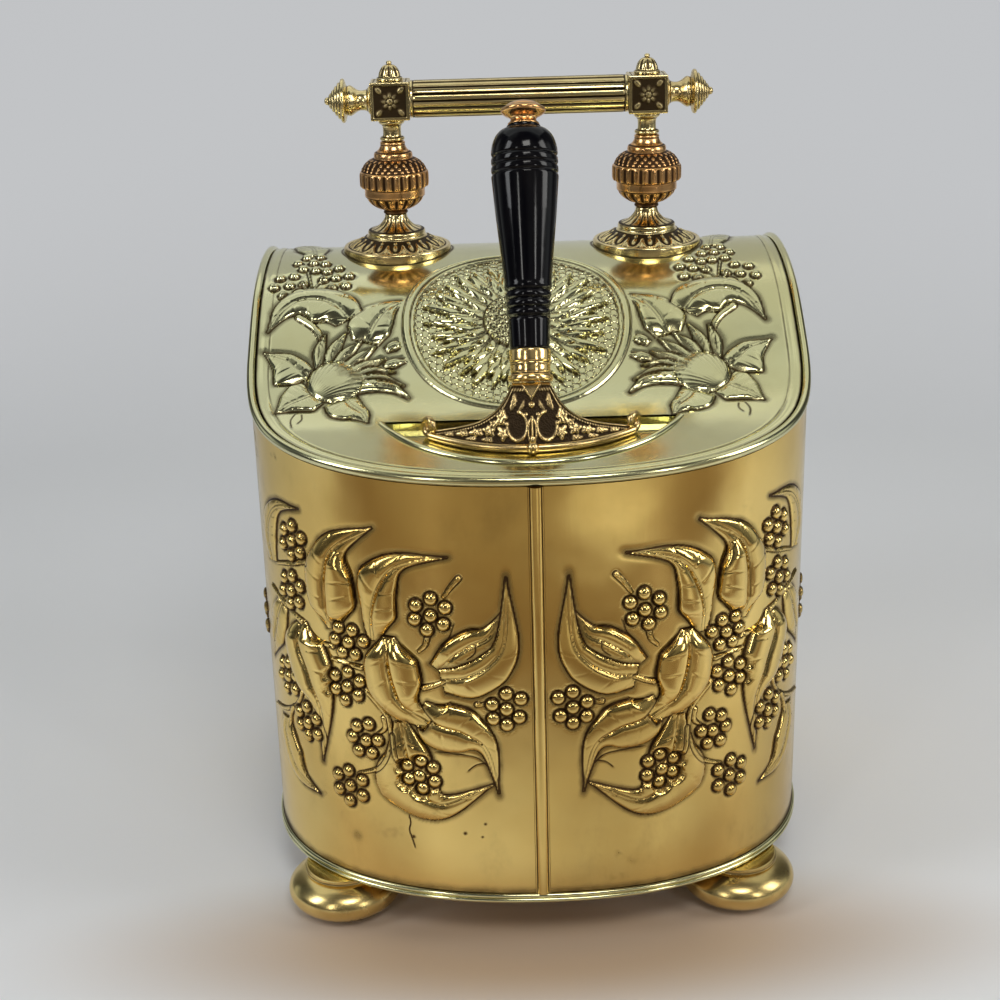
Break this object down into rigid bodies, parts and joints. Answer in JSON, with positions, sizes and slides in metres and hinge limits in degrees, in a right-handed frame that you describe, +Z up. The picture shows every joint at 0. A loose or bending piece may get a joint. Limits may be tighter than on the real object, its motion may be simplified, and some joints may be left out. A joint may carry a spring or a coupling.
{
  "type": "coal scuttle",
  "caption": "Bow-fronted brass coal scuttle on bun feet with a hinged ogee lid, a turned and reeded carrying handle and a scoop standing in a crescent slot.",
  "frame": {"origin": "centre of the bounding box on the floor, under the four bun feet", "axes": "+X to the right seen from the front, +Y to the back where the lid is hinged, +Z up"},
  "size_m": [0.348, 0.343, 0.5065],
  "materials": {
    "wall_brass": "polished, warm, dark in the recesses",
    "lid_brass": "polished, pale",
    "turned_brass": "cast and turned, aged",
    "foot_brass": "dull, aged",
    "bronze": "dark bronzed casting",
    "copper": "coppered, aged",
    "steel": "plain",
    "ebonised_wood": "black, glossy"
  },
  "bodies": {
    "box": {"body_panel_left": "wall_brass", "body_panel_right": "wall_brass", "back_panel": "wall_brass", "bottom_plate": "wall_brass", "base_moulding": "lid_brass", "seam_strip": "wall_brass", "foot_front_left": "foot_brass", "foot_front_right": "foot_brass", "foot_rear_left": "foot_brass", "foot_rear_right": "foot_brass", "foot_nut_front_left": "steel", "foot_nut_front_right": "steel", "foot_nut_rear_left": "steel", "foot_nut_rear_right": "steel", "hinge_leaf_body": "turned_brass", "hinge_pin": "steel"},
    "lid": {"hinge_leaf_lid": "turned_brass", "lid_sheet": "lid_brass", "lid_rim": "lid_brass", "slot_bead": "lid_brass", "slot_tray": "lid_brass", "post_foot_left": "turned_brass", "post_foot_right": "turned_brass", "post_bulb_left": "copper", "post_bulb_right": "copper", "post_stem_left": "turned_brass", "post_stem_right": "turned_brass", "post_cube_left": "turned_brass", "post_cube_right": "turned_brass", "top_finial_left": "turned_brass", "top_finial_right": "turned_brass", "post_rod_left": "steel", "post_rod_right": "steel", "post_washer_left": "steel", "post_washer_right": "steel", "post_nut_left": "steel", "post_nut_right": "steel", "side_finial_left": "turned_brass", "side_finial_right": "turned_brass", "handle_bar": "turned_brass"},
    "scoop": {"scoop_blade": "wall_brass", "scoop_mount": "bronze", "scoop_ferrule": "turned_brass", "scoop_grip": "ebonised_wood", "scoop_end_button": "copper", "scoop_tang": "steel"}
  },
  "joints": [
    {"name": "lid_hinge", "type": "hinge", "parent": "box", "child": "lid", "pos_m": [0, 0.16805, 0.3509], "axis": [-1, 0, 0], "range_deg": [0, 100]},
    {"name": "scoop_slide", "type": "slide", "parent": "lid", "child": "scoop", "axis": [0, -0.1366, 0.9906], "range_m": [0, 0.18]}
  ]
}
